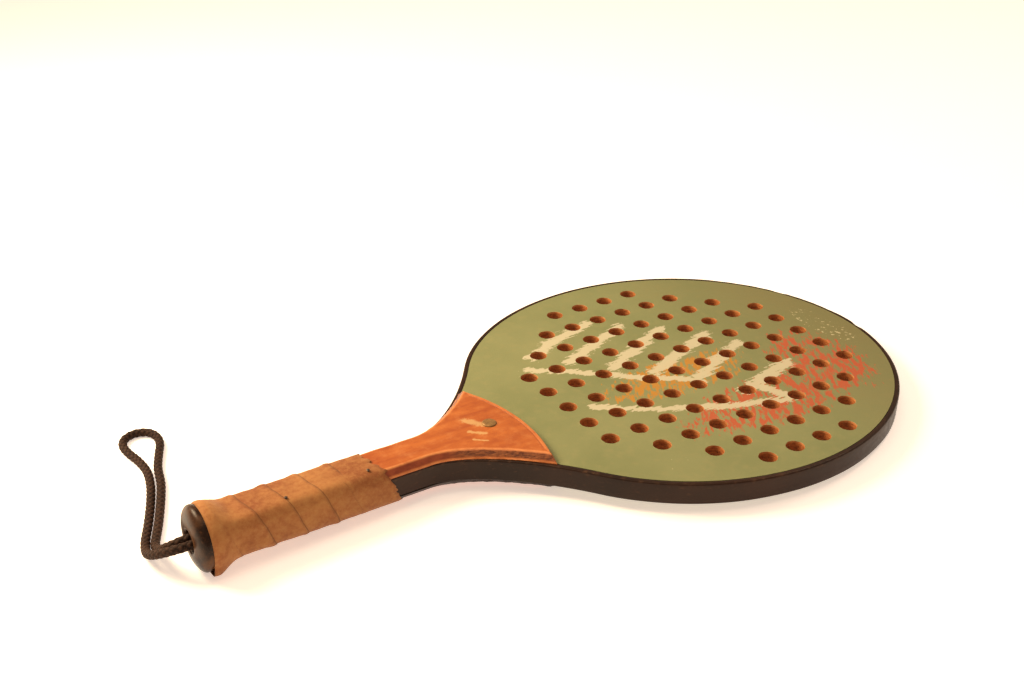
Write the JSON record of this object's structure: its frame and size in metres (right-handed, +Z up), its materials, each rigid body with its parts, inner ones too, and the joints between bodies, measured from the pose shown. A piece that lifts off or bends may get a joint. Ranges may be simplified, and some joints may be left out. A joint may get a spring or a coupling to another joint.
{
  "type": "paddle racket",
  "caption": "Solid wooden paddle racket with a drilled oval blade, dark edge strip, wooden throat scales, leather-wound grip, domed butt cap and doubled wrist cord.",
  "frame": {"origin": "on the floor under the middle of the racket's length and width; the racket lies on its butt and its head tip, tipped by about 1.5 degrees", "axes": "+X towards the head's tip, +Y to the left of the racket, +Z up, out of the top face"},
  "size_m": [0.474, 0.2688, 0.0373],
  "materials": {
    "veneer_light": "satin",
    "veneer_warm": "satin",
    "face_sheet": "satin, worn, with old paint strokes",
    "edge_strip": "satin, waxed",
    "throat_wood": "varnished, worn",
    "rivet_brass": "dull, tarnished",
    "grip_leather": "suede, worn smooth",
    "tack_steel": "dull",
    "cap": "polished, worn",
    "cord": "braided"
  },
  "bodies": {
    "root": {"core_ply_1": "veneer_light", "core_ply_2": "veneer_warm", "core_ply_3": "veneer_light", "core_ply_4": "veneer_warm", "core_ply_5": "veneer_light", "core_ply_6": "veneer_warm", "core_ply_7": "veneer_light", "bottom_face": "face_sheet", "top_face": "face_sheet", "edge_band": "edge_strip", "bottom_scale": "throat_wood", "top_scale": "throat_wood", "throat_rivet": "rivet_brass", "rivet_washer": "rivet_brass", "side_flare_blocks": "veneer_light", "face_flare_blocks": "veneer_light", "leather_grip": "grip_leather", "grip_tacks": "tack_steel", "butt_cap": "cap", "cord_knot": "cord", "wrist_cord": "cord"}
  },
  "joints": []
}
